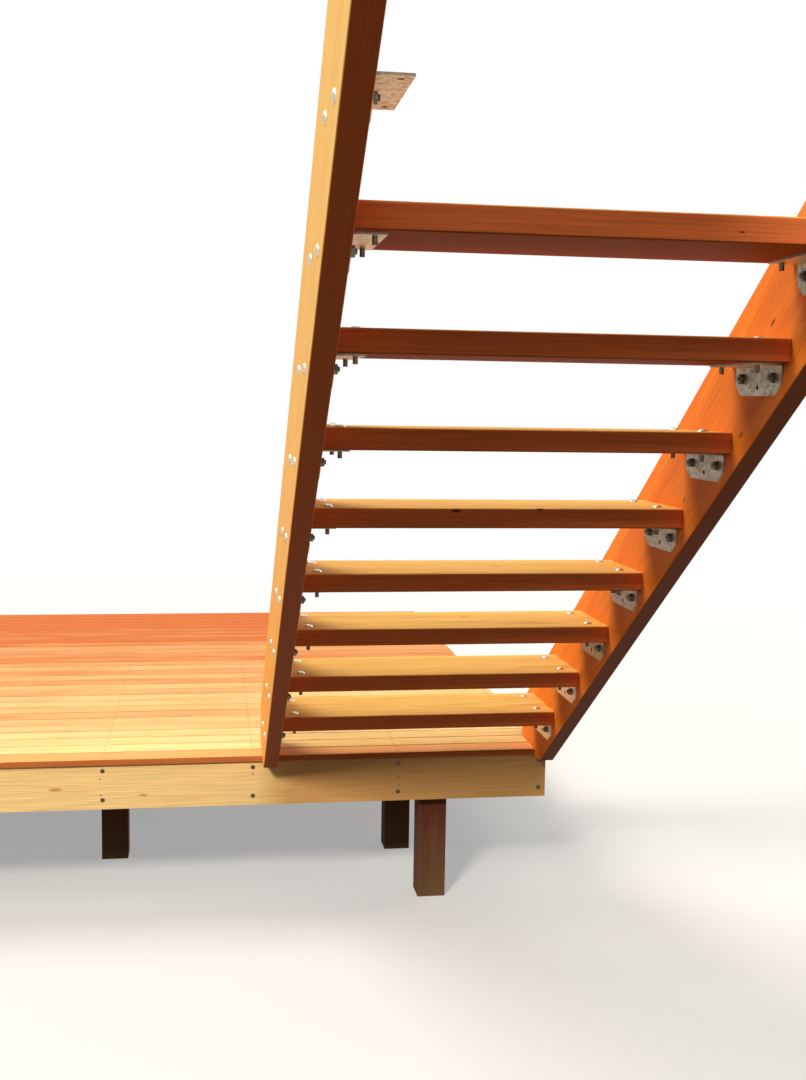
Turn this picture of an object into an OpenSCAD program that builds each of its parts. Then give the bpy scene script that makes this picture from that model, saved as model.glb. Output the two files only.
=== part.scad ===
// Open-riser timber stair that stands on the front edge of a raised timber deck.
// The stair climbs forwards, towards -Y, along a wall that lies on the plane x = 0.
// Origin: the wall's plane, the deck's front edge and the top of the deck boards.

/* [Stair] */
// Height from one tread to the next
rise_h = 180; // [160:1:200]
// Level distance from one tread to the next
going = 257; // [225:1:300]
// Clear width between the two stringers
stair_w = 850; // [600:5:1200]
// Treads that are fitted, counted from the deck
tread_count = 8; // [4:1:10]
// Steps that have brackets, fitted tread or not
step_count = 13; // [10:1:14]
// Distance from the deck's front edge back to the first tread's nosing
nosing_inset = 42; // [0:1:100]

/* [Treads] */
// Depth of a tread from nosing to back edge
tread_d = 268; // [240:1:300]
// Thickness of a tread
tread_t = 45; // [32:1:60]
// Radius of the rounded long edges of a tread
tread_round = 4; // [1:0.5:10]
// Gap between each end of a tread and its stringer
tread_gap = 0.5; // [0.2:0.1:3]

/* [Stringers] */
// Thickness of a stringer
stringer_t = 45; // [32:1:60]
// Width of a stringer, square to its slope
stringer_d = 260; // [240:1:320]
// Distance from a tread's back top edge to the stringer's underside, square to the slope
underside_margin = 74; // [60:1:100]
// Radius of the rounded long edges of a stringer
stringer_round = 3; // [1:0.5:8]
// Distance from the deck's front edge back to the upright cut at a stringer's toe
toe_inset = 174; // [100:1:220]
// Depth that the notched heel of a stringer reaches below the deck's top
heel_drop = 20; // [0:1:60]
// Level distance from the last step's back edge to the upright cut at the head
head_l = 30; // [10:1:80]

/* [Brackets] */
// Length of a bracket along the tread
bracket_l = 210; // [190:1:230]
// Height of the leg that lies on the stringer
bracket_h = 61; // [50:1:80]
// Width of the leg that lies under the tread
bracket_w = 62; // [50:1:80]
// Thickness of the bracket's steel
bracket_t = 4; // [3:0.5:6]
// Outside radius of the bracket's fold
fold_r = 7; // [6.5:0.5:10]
// Length that each clipped corner takes off the leg on the stringer
clip_l = 28; // [10:1:35]
// Height that each clipped corner takes off the leg on the stringer
clip_h = 21; // [10:1:30]
// Distance between the two bolts through the stringer
side_bolt_pitch = 140; // [120:1:150]
// Distance from the tread's underside down to the bolts through the stringer
side_bolt_drop = 27; // [22:1:34]
// Distance between the two bolts up through the tread
top_bolt_pitch = 170; // [140:1:178]
// Distance from the stringer out to the bolts up through the tread
top_bolt_out = 44; // [36:1:48]
// Distance from the tread's underside down to the spare hole in the middle
spare_drop = 44.5; // [40:0.5:52]

/* [Bolt holes] */
// Diameter of a bolt hole
bolt_hole_d = 11; // [9:0.5:13]
// Diameter of the recess for a bolt head on the wall side
recess_d = 26; // [22:1:30]
// Depth of the recess for a bolt head on the wall side
recess_t = 8; // [6:0.5:12]

/* [Deck] */
// Number of deck boards from front to back
board_count = 31; // [20:1:36]
// Width of a deck board
board_w = 86; // [80:1:145]
// Thickness of a deck board
board_t = 20; // [18:1:30]
// Gap between deck boards
board_gap = 5; // [3:0.5:8]
// Distance that the front board stands past the rim joist
board_lip = 10; // [0:1:20]
// Number of joist bays
bay_count = 6; // [3:1:6]
// Distance between joist centres
joist_pitch = 472; // [400:1:600]
// Thickness of the joists, rim joist and ledger
joist_t = 45; // [38:1:50]
// Depth of the joists, rim joist and ledger
joist_h = 144; // [120:1:190]
// Gap between the deck and the wall
wall_gap = 4; // [2:1:12]

/* [Posts and bearers] */
// Height of the deck's top above the ground
deck_h = 512; // [420:1:700]
// Width of a square post
post_w = 92; // [80:1:125]
// Distance from the wall to the middle of the front post
front_post_in = 374; // [350:1:400]
// Width of a bearer
bearer_w = 92; // [80:1:125]
// Height of a bearer
bearer_h = 90; // [80:1:140]
// Distance from the deck's front edge to the middle of the first bearer
bearer_front_in = 570; // [400:1:700]
// Distance from the deck's back edge to the middle of the second bearer
bearer_back_in = 420; // [300:1:700]
// Distance from the wall to the middle of the first post under a bearer
pile_in = 422; // [300:1:600]
// Number of posts under each bearer
pile_count = 3; // [2:1:3]

/* [Hidden] */
$fn = 48;
// Room past a face that a cutting shape goes
over = 5;
slope = atan(rise_h / going);
bolt_r = bolt_hole_d / 2;

// Stringers and treads across the stair
right_inner_x = -stringer_t;
left_inner_x = right_inner_x - stair_w;
left_outer_x = left_inner_x - stringer_t;

// The first tread's back edge, where the underside meets the deck's level, and the head
first_back_y = nosing_inset - tread_d;
underside_drop = underside_margin / cos(slope);
underside_y = first_back_y + (rise_h - underside_drop) / tan(slope);
head_y = first_back_y - (step_count - 1) * going - head_l;
head_z = (step_count + 1) * rise_h;

// Deck from front to back and from the wall to its far end
deck_d = board_count * board_w + (board_count - 1) * board_gap;
deck_right_x = -wall_gap;
deck_left_x = deck_right_x - joist_t - bay_count * joist_pitch;
deck_w = deck_right_x - deck_left_x;
joist_top_z = -board_t;
bearer_top_z = joist_top_z - joist_h;
pile_top_z = bearer_top_z - bearer_h;
ground_z = -deck_h;
rim_back_y = board_lip + joist_t;
pile_pitch = (deck_w - 2 * (pile_in - wall_gap)) / (pile_count - 1);

TIMBER = "peru";
DECKING = "sandybrown";
PINE = "burlywood";
STEEL = "silver";

// Back edge of a step along Y, and the height of its top
function back_y(step) = first_back_y - (step - 1) * going;
function top_z(step) = step * rise_h;
function step_mid_y(step) = back_y(step) + tread_d / 2;

// A rectangle with round corners, which stays a true profile when it is extruded
module rounded_section(width, height, radius) {
    translate([radius, 0]) square([width - 2 * radius, height]);
    translate([0, radius]) square([width, height - 2 * radius]);
    for (x = [radius, width - radius], y = [radius, height - radius])
        translate([x, y]) circle(r = radius);
}

// A hole through a stringer, or up through a tread, as a cylinder along X or Z
module hole_x(x0, x1, y, z, radius) {
    translate([x0, y, z]) rotate([0, 90, 0]) cylinder(r = radius, h = x1 - x0);
}

module hole_z(x, y, z0, z1, radius) {
    translate([x, y, z0]) cylinder(r = radius, h = z1 - z0);
}

// The sloping plank, from below the deck to past the head, with its underside on the slope line
module sloping_plank() {
    run_past = stringer_d * 2;
    plank_l = (head_z + rise_h) / sin(slope) + 2 * run_past;
    translate([0, underside_y, 0])
        rotate([90 - slope, 0, 0])
            translate([0, 0, -run_past])
                linear_extrude(plank_l)
                    rounded_section(stringer_t, stringer_d, stringer_round);
}

// What the foot and the head leave of the plank: the foot stands on the deck,
// and its heel is notched over the front board
module stringer_limits() {
    width = stringer_t + 2 * over;
    translate([-over, head_y, 0]) cube([width, toe_inset - head_y, head_z]);
    translate([-over, head_y, -heel_drop]) cube([width, -head_y, head_z + heel_drop]);
}

// Both bolt holes of every step, from x0 to x1
module side_bolt_holes(x0, x1, radius) {
    for (step = [1:step_count], side = [-1, 1])
        hole_x(x0, x1, step_mid_y(step) + side * side_bolt_pitch / 2,
            top_z(step) - tread_t - side_bolt_drop, radius);
}

module stringer() {
    difference() {
        intersection() {
            sloping_plank();
            stringer_limits();
        }
        side_bolt_holes(-over, stringer_t + over, bolt_r);
    }
}

module stringer_left() {
    color(TIMBER) translate([left_outer_x, 0, 0]) stringer();
}

// The wall-side stringer, whose bolt heads lie in recesses so that it bears flat on the wall
module stringer_right() {
    color(TIMBER) difference() {
        translate([right_inner_x, 0, 0]) stringer();
        side_bolt_holes(-recess_t, over, recess_d / 2);
    }
}

module tread(step) {
    length = stair_w - 2 * tread_gap;
    color(TIMBER) difference() {
        translate([left_inner_x + tread_gap, back_y(step), top_z(step) - tread_t])
            rotate([90, 0, 90])
                linear_extrude(length)
                    rounded_section(tread_d, tread_t, tread_round);
        for (x = [left_inner_x + top_bolt_out, right_inner_x - top_bolt_out], side = [-1, 1])
            hole_z(x, step_mid_y(step) + side * top_bolt_pitch / 2,
                top_z(step) - tread_t - over, top_z(step) + over, bolt_r);
    }
}

// The folded profile of a bracket: one leg down the stringer and one under the tread
module bracket_profile() {
    inner_r = fold_r - bracket_t;
    translate([0, -bracket_h]) square([bracket_t, bracket_h - fold_r]);
    translate([fold_r, -bracket_t]) square([bracket_w - fold_r, bracket_t]);
    translate([fold_r, -fold_r]) intersection() {
        difference() {
            circle(r = fold_r);
            circle(r = inner_r);
        }
        translate([-fold_r, 0]) square(fold_r);
    }
}

// The outline of the leg on the stringer seen square on, with its two free corners clipped
module leg_outline() {
    polygon([
        [0, 0],
        [bracket_l, 0],
        [bracket_l, bracket_h - clip_h],
        [bracket_l - clip_l, bracket_h],
        [clip_l, bracket_h],
        [0, bracket_h - clip_h]
    ]);
}

// One bracket for the left side, from x = 0 on the stringer and z = 0 under the tread
module bracket() {
    difference() {
        intersection() {
            translate([0, bracket_l, 0]) rotate([90, 0, 0])
                linear_extrude(bracket_l) bracket_profile();
            translate([-over, 0, 0]) rotate([90, 0, 90])
                linear_extrude(bracket_w + 2 * over) mirror([0, 1]) leg_outline();
        }
        for (side = [-1, 1]) {
            hole_x(-over, bracket_t + over, bracket_l / 2 + side * side_bolt_pitch / 2,
                -side_bolt_drop, bolt_r);
            hole_z(top_bolt_out, bracket_l / 2 + side * top_bolt_pitch / 2,
                -bracket_t - over, over, bolt_r);
        }
        hole_x(-over, bracket_t + over, bracket_l / 2, -spare_drop, bolt_r);
    }
}

// The two brackets of one step, left and right
module brackets(step) {
    start_y = step_mid_y(step) - bracket_l / 2;
    color(STEEL) translate([0, start_y, top_z(step) - tread_t]) {
        translate([left_inner_x, 0, 0]) bracket();
        translate([right_inner_x, 0, 0]) mirror([1, 0, 0]) bracket();
    }
}

module deck_boards() {
    color(DECKING) for (i = [0:board_count - 1])
        translate([deck_left_x, i * (board_w + board_gap), -board_t])
            cube([deck_w, board_w, board_t]);
}

module rim_joist() {
    color(PINE) translate([deck_left_x, board_lip, bearer_top_z])
        cube([deck_w, joist_t, joist_h]);
}

module joists() {
    color(PINE) for (i = [0:bay_count])
        translate([deck_right_x - joist_t - i * joist_pitch, rim_back_y, bearer_top_z])
            cube([joist_t, deck_d - joist_t - rim_back_y, joist_h]);
}

module ledger() {
    color(PINE) translate([deck_left_x, deck_d - joist_t, bearer_top_z])
        cube([deck_w, joist_t, joist_h]);
}

module bearer(mid_y) {
    color(PINE) translate([deck_left_x, mid_y - bearer_w / 2, pile_top_z])
        cube([deck_w, bearer_w, bearer_h]);
}

module bearer_front() {
    bearer(bearer_front_in);
}

module bearer_back() {
    bearer(deck_d - bearer_back_in);
}

// A post under the foot of the stair, hard behind the rim joist
module post_front() {
    color(TIMBER) translate([-front_post_in - post_w / 2, rim_back_y, ground_z])
        cube([post_w, post_w, deck_h - board_t]);
}

// The posts under both bearers
module posts() {
    color(TIMBER) for (y = [bearer_front_in, deck_d - bearer_back_in], i = [0:pile_count - 1])
        translate([-pile_in - i * pile_pitch - post_w / 2, y - post_w / 2, ground_z])
            cube([post_w, post_w, pile_top_z - ground_z]);
}

stringer_left();
stringer_right();
for (i = [1:tread_count])
    tread(i);
for (i = [1:step_count])
    brackets(i);
deck_boards();
rim_joist();
joists();
ledger();
bearer_front();
bearer_back();
post_front();
posts();
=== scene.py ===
"""Open-riser timber stair on a raised timber deck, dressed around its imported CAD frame.

The stair climbs towards -Y along a wall on the plane x = 0. The origin is where that
wall, the deck's front edge and the top of the deck boards meet. Blender works in
metres here; sizes of the carpentry are written in millimetres and turned by MM.
"""

import logging
import math
from dataclasses import dataclass, field, replace
from enum import Enum
from functools import partial
from typing import Any, Callable, Sequence

import bpy
from mathutils import Matrix, Vector


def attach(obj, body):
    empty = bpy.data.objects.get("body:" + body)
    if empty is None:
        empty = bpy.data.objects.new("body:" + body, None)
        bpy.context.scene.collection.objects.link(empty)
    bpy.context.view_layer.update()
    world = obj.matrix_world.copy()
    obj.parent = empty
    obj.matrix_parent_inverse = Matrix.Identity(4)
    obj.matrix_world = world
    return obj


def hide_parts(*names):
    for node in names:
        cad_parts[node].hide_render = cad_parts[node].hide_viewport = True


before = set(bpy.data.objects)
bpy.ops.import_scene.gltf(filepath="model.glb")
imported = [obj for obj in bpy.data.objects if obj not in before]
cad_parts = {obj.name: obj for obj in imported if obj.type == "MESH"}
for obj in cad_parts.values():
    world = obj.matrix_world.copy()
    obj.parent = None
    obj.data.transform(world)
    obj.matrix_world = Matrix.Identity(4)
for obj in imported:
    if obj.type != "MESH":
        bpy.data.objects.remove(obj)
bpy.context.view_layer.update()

LOG = logging.getLogger("deck_stair")
MM = 0.001
RISE, GOING = 180.0, 257.0
PITCH_ANGLE = math.atan2(RISE, GOING)
WHITE = (1.0, 1.0, 1.0, 1.0)

# The node types that are used most
MATH, VECTOR = "ShaderNodeMath", "ShaderNodeVectorMath"
SPAN, MIX, NOISE = "ShaderNodeMapRange", "ShaderNodeMix", "ShaderNodeTexNoise"
JOIN_XYZ, SPLIT_XYZ = "ShaderNodeCombineXYZ", "ShaderNodeSeparateXYZ"
SPLIT_COLOUR = "ShaderNodeSeparateColor"

Triple = tuple[float, float, float]
Socket = bpy.types.NodeSocket
AddNode = Callable[..., Socket]

# Scales of the wood's patterns along, across and through the timber, per mm. Fibres and
# pores are finer than 1 mm; they are drawn 2.5 mm wide so that they show.
WANDER, KNOT_CELL = (1 / 700, 1 / 160, 1 / 160), (1 / 520, 1 / 150, 1 / 150)
FIBRE, STREAK, PATCH = (1 / 220, 1 / 2.5, 1 / 2.5), (1 / 600, 1 / 9, 1 / 9), (1 / 380, 1 / 55, 1 / 55)


class Heading(Enum):
    """A direction in the part's frame, as a unit vector."""

    TO_WALL = (1.0, 0.0, 0.0)
    FROM_WALL = (-1.0, 0.0, 0.0)
    TO_HOUSE = (0.0, 1.0, 0.0)
    FROM_HOUSE = (0.0, -1.0, 0.0)
    UP = (0.0, 0.0, 1.0)
    DOWN = (0.0, 0.0, -1.0)
    UP_FLIGHT = (0.0, -math.cos(PITCH_ANGLE), math.sin(PITCH_ANGLE))
    OFF_FLIGHT = (0.0, math.sin(PITCH_ANGLE), math.cos(PITCH_ANGLE))


Place = tuple[Triple, Heading]


def srgb(hex_code: str) -> tuple[float, float, float, float]:
    """Turns an sRGB hex colour to the linear colour that shaders take.

    Args:
        hex_code: Six hex digits, with or without a leading hash sign.

    Returns:
        Linear red, green and blue, with an alpha of 1.
    """
    digits = hex_code.lstrip("#")
    parts = [int(digits[i:i + 2], 16) / 255 for i in (0, 2, 4)]
    linear = [c / 12.92 if c <= 0.04045 else ((c + 0.055) / 1.055) ** 2.4 for c in parts]
    return (linear[0], linear[1], linear[2], 1)


def add_node(tree: bpy.types.NodeTree, kind: str, inputs: Sequence[Any] | dict[int | str, Any] = (),
             operation: str = "", out: str = "", **settings: Any) -> Socket:
    """Adds a node with its settings, values and links.

    Args:
        tree: The node tree that gets the node.
        kind: The node's type name.
        inputs: A value, or a socket to link from, for each input: in order for the
            inputs that the settings leave in use, or by name or number.
        operation: What the node works out, where it has a choice.
        out: The name of the output that is wanted, or nothing for the first in use.
        **settings: The node's other properties, by name.

    Returns:
        The wanted output socket, or the first input socket of a node without outputs.
    """
    made = tree.nodes.new(kind)
    if operation:
        made.operation = operation
    for name, value in settings.items():
        setattr(made, name, value)
    if not isinstance(inputs, dict):
        in_use = [number for number, socket in enumerate(made.inputs) if socket.enabled]
        inputs = dict(zip(in_use, inputs))
    for key, value in inputs.items():
        if isinstance(value, Socket):
            tree.links.new(value, made.inputs[key])
        else:
            made.inputs[key].default_value = value
    return made.outputs[out] if out else next(s for s in (*made.outputs, *made.inputs) if s.enabled)


def empty_tree(owner: bpy.types.Material | bpy.types.World) -> AddNode:
    """Empties the node tree of a material or a world.

    Args:
        owner: The material or world.

    Returns:
        The function add_node, tied to that tree.
    """
    owner.use_nodes = True
    owner.node_tree.nodes.clear()
    return partial(add_node, owner.node_tree)


def add_object(name: str, data: bpy.types.ID) -> bpy.types.Object:
    """Adds an object to the scene.

    Args:
        name: The object's name.
        data: Its mesh, lamp or camera.

    Returns:
        The new object.
    """
    made = bpy.data.objects.new(name, data)
    bpy.context.scene.collection.objects.link(made)
    return made


def dress(node_name: str, material: bpy.types.Material) -> None:
    """Gives a CAD node its material.

    Args:
        node_name: The CAD node.
        material: Its material.
    """
    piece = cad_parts[node_name]
    if not piece.material_slots:
        piece.data.materials.append(material)
    for material_slot in piece.material_slots:
        material_slot.material = material
    LOG.info("dressed %s in %s", node_name, material.name)


def ride_root(piece: bpy.types.Object) -> None:
    """Ties a finished piece to the stair's one body."""
    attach(piece, "root")


@dataclass(frozen=True)
class Row:
    """Equal timbers in one material, told apart by a count along one axis.

    Attributes:
        count_along: Axis number along which the timbers are counted.
        start: Where timber 0 begins on that axis, mm.
        pitch: Distance from one timber to the next on that axis, mm.
        step: How the timber's middle moves from one to the next, mm.
        drift: How much deeper in tone each timber is than the one before it.
    """

    count_along: int = 0
    start: float = -1.0e6
    pitch: float = 2.0e6
    step: Triple = (0.0, 0.0, 0.0)
    drift: float = 0.0


@dataclass(frozen=True)
class Timber:
    """Wood cut from a log whose rings run along the piece.

    Colours are sRGB hex codes, and shares go from 0 to 1. An empty colour or tuple, or a
    size of 0, leaves its feature out.

    Attributes:
        name: The wood and how its surface was made.
        grain: Direction along the fibres.
        width: Direction across the piece's broad face.
        middle: The middle of the piece, or of timber 0 of a row, mm.
        face: Colour of the broad faces.
        deep: Colour of darker patches and of some timbers in a row.
        late: Colour of the dense latewood lines.
        edge: Colour of the narrow edges and ends, which soak up more stain; set darker still, it also stands
            for painted shade on an underside.
        row: How the timbers in this material are told apart.
        painted_light_face: Paler colour painted on the faces that look towards the light, as painted light.
        painted_light_side: The way those faces look.
        front: Colour of timber 0 of a row.
        stair_shade_paint: Colour painted where the stair's shade falls, as painted shade and bounce light.
        stair_shade_box: First and last x and first and last y of that place, mm.
        stair_shade_part: How far the place takes that colour.
        ring_mm: Distance between growth rings.
        heart_mm: How far the log's heart lies below the broad face.
        spread: How much the timbers of a row differ.
        patch_part: How far patches deepen the tone of one timber.
        late_part: How strongly the latewood lines show.
        edge_part: How far narrow edges take the edge colour.
        knot_mm: Largest knot radius.
        knot_hex: Colour of the knots.
        roughness: Middle roughness of the surface.
        specular: How strongly the surface shines; 0.5 is a full polish.
        relief_mm: Height of the raised grain.
        saw_mm: Pitch of saw marks across the grain.
        foot_dirt_and_shade: Colour towards the timber's foot: grime on the posts, painted shade on the left
            stringer.
        foot_dirt_and_shade_zone: Heights at which that colour starts and is full, mm.
        foot_dirt_and_shade_part: How far the foot takes that colour.
        marks: X, y, z and radius of each small knot that has its own place, mm.
        bruises: First x, pitch in x, middle z and half spacing in z of the crushed
            rings round long screws, mm.
    """

    name: str
    grain: Heading
    width: Heading
    middle: Triple
    face: str
    deep: str
    late: str
    edge: str
    row: Row = Row()
    painted_light_face: str = ""
    painted_light_side: Heading = Heading.UP
    front: str = ""
    stair_shade_paint: str = ""
    stair_shade_box: tuple[float, ...] = ()
    stair_shade_part: float = 0.9
    ring_mm: float = 7.0
    heart_mm: float = 70.0
    spread: float = 0.35
    patch_part: float = 0.45
    late_part: float = 0.5
    edge_part: float = 0.8
    knot_mm: float = 0.0
    knot_hex: str = "#3A1B0C"
    roughness: float = 0.45
    specular: float = 0.2
    relief_mm: float = 0.25
    saw_mm: float = 0.0
    foot_dirt_and_shade: str = ""
    foot_dirt_and_shade_zone: tuple[float, float] = (-110.0, -420.0)
    foot_dirt_and_shade_part: float = 0.75
    marks: tuple[tuple[float, ...], ...] = ()
    bruises: tuple[float, ...] = ()

    def build(self) -> bpy.types.Material:
        """Makes the material.

        Returns:
            The new material.
        """
        material = bpy.data.materials.new(self.name)
        tree = TimberTree(self, empty_tree(material))
        tree.find_timber()
        tree.draw_noise()
        tree.grow_rings()
        tree.finish_surface(tree.lay_colours())
        return material


@dataclass
class TimberTree:
    """The node tree that draws a timber, built part by part.

    Attributes:
        wood: What the timber looks like.
        add: The function add_node, tied to the tree.
        where: The point on the object, mm.
        number: The timber's number in its row.
        chances: Three random values of that timber.
        parts: Distances from the timber's middle: along, across and through, mm.
        local: The same as one vector.
        moved: The same, moved along the log so that no two timbers look alike.
        fibre: Fine fibres and pores, 0 to 1.
        streak: Long streaks of resin, 0 to 1.
        patch: Wide soft patches, 0 to 1.
        season: From 0 in the earlywood to 1 in the latewood.
        knot: 1 within a knot and 0 outside, or None for clear wood.
    """

    wood: Timber
    add: AddNode
    where: Socket = field(init=False)
    number: Socket = field(init=False)
    chances: Sequence[Socket] = field(init=False)
    parts: list[Socket] = field(init=False)
    local: Socket = field(init=False)
    moved: Socket = field(init=False)
    fibre: Socket = field(init=False)
    streak: Socket = field(init=False)
    patch: Socket = field(init=False)
    season: Socket = field(init=False)
    knot: Socket | None = None

    def find_timber(self) -> None:
        """Counts out the timber that a point lies on, and the point's place on it."""
        add, wood, row = self.add, self.wood, self.wood.row
        self.where = add(VECTOR, [add("ShaderNodeTexCoord", out="Object"), 1 / MM], "SCALE")
        axis = tuple(float(i == row.count_along) for i in range(3))
        counted = add(VECTOR, [self.where, axis], "DOT_PRODUCT")
        counted = add(MATH, [counted, row.start], "SUBTRACT")
        counted = add(MATH, [counted, row.pitch], "DIVIDE")
        self.number = add(MATH, [counted], "FLOOR")
        seed = add(MATH, [self.number, 0.37], "ADD")
        chance = add("ShaderNodeTexWhiteNoise", [seed], out="Color", noise_dimensions="1D")
        self.chances = add(SPLIT_COLOUR, [chance]).node.outputs

        step = add(VECTOR, [row.step, self.number], "SCALE")
        own = add(VECTOR, [self.where, step], "SUBTRACT")
        own = add(VECTOR, [own, wood.middle], "SUBTRACT")
        grain, width = Vector(wood.grain.value), Vector(wood.width.value)
        self.parts = [add(VECTOR, [own, tuple(way)], "DOT_PRODUCT")
                      for way in (grain, width, grain.cross(width))]
        self.local = add(JOIN_XYZ, self.parts)
        log_length = 4000
        self.moved = add(VECTOR, [chance, (log_length, 0, 0), self.local], "MULTIPLY_ADD")

    def draw_noise(self) -> None:
        """Draws the fibres, the streaks and the patches."""
        self.fibre, self.streak, self.patch = (
            self.add(NOISE, [self.add(VECTOR, [self.moved, scale], "MULTIPLY"), 1, detail, roughness])
            for scale, detail, roughness in ((FIBRE, 3, 0.6), (STREAK, 2, 0.5), (PATCH, 2, 0.5)))

    def grow_rings(self) -> None:
        """Draws rings round a heart that wanders along the log, parted by the knots."""
        add, wood = self.add, self.wood
        # The slow wandering draws the pointed arches of flat-sawn faces
        wander = add(NOISE, [add(VECTOR, [self.moved, WANDER], "MULTIPLY"), 1], out="Color")
        bend = add(VECTOR, [wander, (0, 90, 60), self.local], "MULTIPLY_ADD")
        heart_side = add(MATH, [self.chances[1], 150, -120], "MULTIPLY_ADD")
        mean_wander = 30
        heart = add(JOIN_XYZ, {"Y": heart_side, "Z": mean_wander - wood.heart_mm})
        bend = add(VECTOR, [bend, heart], "SUBTRACT")
        flat = add(VECTOR, [bend, (0.012, 1, 1)], "MULTIPLY")
        radius = add(VECTOR, [flat], "LENGTH")
        if wood.knot_mm:
            radius = self.grow_knots(radius)

        turns = add(MATH, [radius, wood.ring_mm], "DIVIDE")
        ring = add(MATH, [turns], "FRACT")
        season = add(MATH, [ring, 2.6], "POWER")
        fall = add(SPAN, [ring, 0.93, 1, 1, 0])
        season = add(MATH, [season, fall], "MULTIPLY")
        years = add(NOISE, [turns, 0.45, 1], noise_dimensions="1D")
        strength = add(SPAN, [years, 0.3, 0.7, 0.25, 1])
        self.season = add(MATH, [season, strength], "MULTIPLY")

    def grow_knots(self, radius: Socket) -> Socket:
        """Scatters knots through the log.

        Args:
            radius: Distance from the log's heart.

        Returns:
            That distance, raised round each knot, so that the rings part and flow round it.
        """
        add = self.add
        spot = add(VECTOR, [self.moved, KNOT_CELL], "MULTIPLY")
        cells = add("ShaderNodeTexVoronoi", {"Vector": spot, "Scale": 1, "Randomness": 0.9}).node.outputs
        away = add(VECTOR, [spot, cells["Position"]], "SUBTRACT")
        away = add(VECTOR, [away, (0.7 / KNOT_CELL[0], 1 / KNOT_CELL[1], 0.25 / KNOT_CELL[2])], "MULTIPLY")
        distance = add(VECTOR, [away], "LENGTH")
        size = add(SPAN, [add(SPLIT_COLOUR, [cells["Color"]]), 0.62, 1, 0.01, self.wood.knot_mm])
        self.knot = add(SPAN, [add(MATH, [distance, size], "DIVIDE"), 1.15, 0.75, 0, 1])
        reach = add(MATH, [size, 3.2], "MULTIPLY")
        near = add(MATH, [reach, distance], "SUBTRACT")
        push = add(MATH, [near, 0], "MAXIMUM")
        return add(MATH, [push, 0.7, radius], "MULTIPLY_ADD")

    def stair_shade_place(self) -> Socket:
        """Masks the soft-edged place where the stair's shade falls, for the painted colour there.

        Returns:
            How far a point takes the painted colour of the stair's shade.
        """
        add = self.add
        x0, x1, y0, y1 = self.wood.stair_shade_box
        off = add(VECTOR, [self.where, ((x0 + x1) / 2, (y0 + y1) / 2, 0)], "SUBTRACT")
        off = add(VECTOR, [off], "ABSOLUTE")
        off = add(VECTOR, [off, ((x1 - x0) / 2, (y1 - y0) / 2, 0)], "SUBTRACT")
        sides = add(SPLIT_XYZ, [off]).node.outputs
        off = add(MATH, [sides[0], sides[1]], "MAXIMUM")
        ragged = add(MATH, [self.patch, 160, off], "MULTIPLY_ADD")
        return add(SPAN, [ragged, 150, 30, 0, self.wood.stair_shade_part])

    def painted_light_part(self, facing: Socket, tone: Socket) -> Socket:
        """Masks the faces that look towards the light, where a paler painted light colour goes.

        Args:
            facing: The way a face looks.
            tone: How deep in tone the wood is; deeper wood takes less of the painted light colour.

        Returns:
            How far a point takes the painted light colour.
        """
        lit_facing = self.add(VECTOR, [facing, self.wood.painted_light_side.value], "DOT_PRODUCT")
        # The mask starts at low angles, so that the rounded arrises also get a painted highlight line
        lit_facing = self.add(SPAN, [lit_facing, 0.15, 0.55])
        pale = self.add(SPAN, [tone, 0, 1, 1, 0.6])
        return self.add(MATH, [lit_facing, pale], "MULTIPLY")

    def foot_dirt_and_shade_mask(self) -> Socket:
        """Masks the timber's foot, with a ragged upper edge, for grime on the posts and painted shade on the
        left stringer.

        Returns:
            How far a point takes the foot colour.
        """
        height = self.add(VECTOR, [self.where, Heading.UP.value], "DOT_PRODUCT")
        ragged = self.add(MATH, [self.patch, 220, height], "MULTIPLY_ADD")
        return self.add(SPAN, [ragged, *self.wood.foot_dirt_and_shade_zone, 0, self.wood.foot_dirt_and_shade_part])

    def place_marks(self) -> None:
        """Adds the small knots that have their own places, drawn out along the grain."""
        add, grain = self.add, Vector(self.wood.grain.value)
        for x, y, z, size in self.wood.marks:
            away = add(VECTOR, [self.where, (x, y, z)], "SUBTRACT")
            run = add(VECTOR, [away, tuple(grain)], "DOT_PRODUCT")
            run = add(VECTOR, [tuple(grain * -0.72), run], "SCALE")
            away = add(VECTOR, [away, run], "ADD")
            away = add(VECTOR, [away], "LENGTH")
            mark = add(SPAN, [away, size * 1.2, size * 0.6])
            self.knot = add(MATH, [self.knot, mark], "MAXIMUM") if self.knot is not None else mark

    def crushed_rings(self) -> Socket:
        """Masks the rings of crushed wood round the long screws.

        Returns:
            How far a point takes the bruise's colour.
        """
        add = self.add
        first, pitch, level, half = self.wood.bruises
        place = add(SPLIT_XYZ, [self.where]).node.outputs
        side = add(MATH, [place[0], first], "SUBTRACT")
        side = add(MATH, [side, pitch / 2, -pitch / 2], "WRAP")
        rise = add(MATH, [place[2], level], "SUBTRACT")
        rise = add(MATH, [rise], "ABSOLUTE")
        rise = add(MATH, [rise, half], "SUBTRACT")
        away = add(VECTOR, [add(JOIN_XYZ, [side, rise])], "LENGTH")
        return add(SPAN, [away, 9, 6.5, 0, 0.6])

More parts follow.
